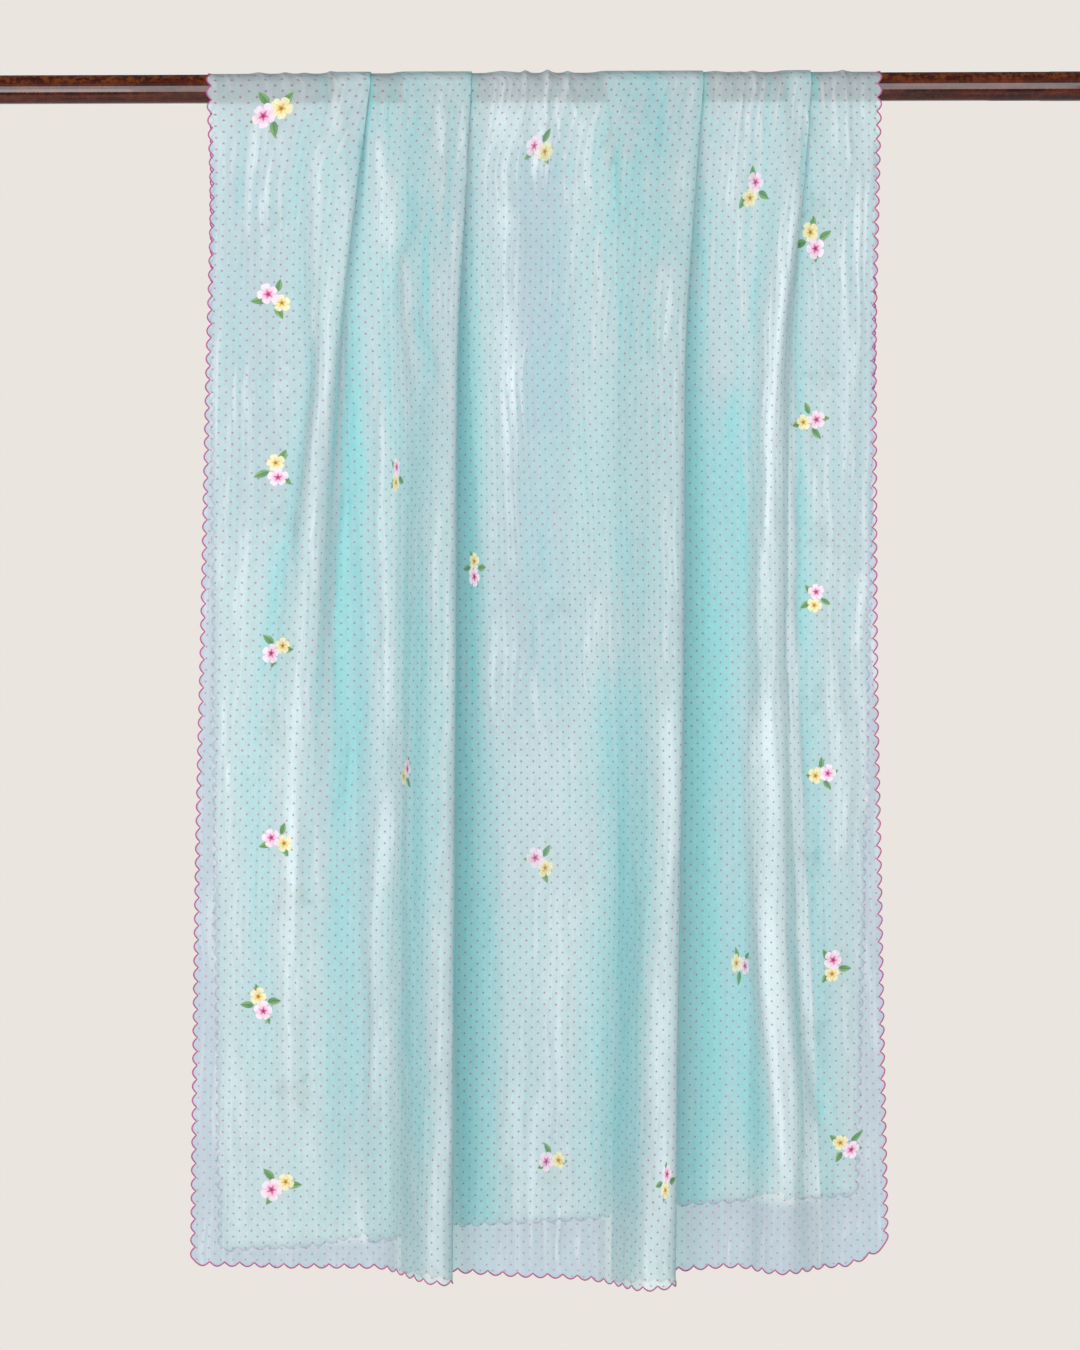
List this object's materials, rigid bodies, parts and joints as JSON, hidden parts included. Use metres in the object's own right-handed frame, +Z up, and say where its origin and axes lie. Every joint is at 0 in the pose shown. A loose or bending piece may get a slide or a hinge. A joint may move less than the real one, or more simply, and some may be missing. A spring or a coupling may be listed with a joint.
{
  "type": "dupatta stole on a wooden rod",
  "caption": "Sheer dupatta stole with scalloped edges, folded in half and pleated over a round wooden rod.",
  "frame": {"origin": "middle of the rod's axis, where the rod is held", "axes": "+X along the rod, to the right of someone facing the front fall; -Y out of the front fall; +Z up"},
  "size_m": [1.2, 0.171, 1.2509],
  "materials": {
    "chiffon": "sheer aqua chiffon with small woven dots",
    "edge_thread": "mauve pink embroidery thread",
    "sprig_paint": "soft matt flowers and leaves",
    "lacquered_wood": "dark red brown lacquer"
  },
  "bodies": {
    "root": {"rod": "lacquered_wood", "top_fold": "chiffon", "front_fall": "chiffon", "back_fall": "chiffon"}
  },
  "joints": []
}
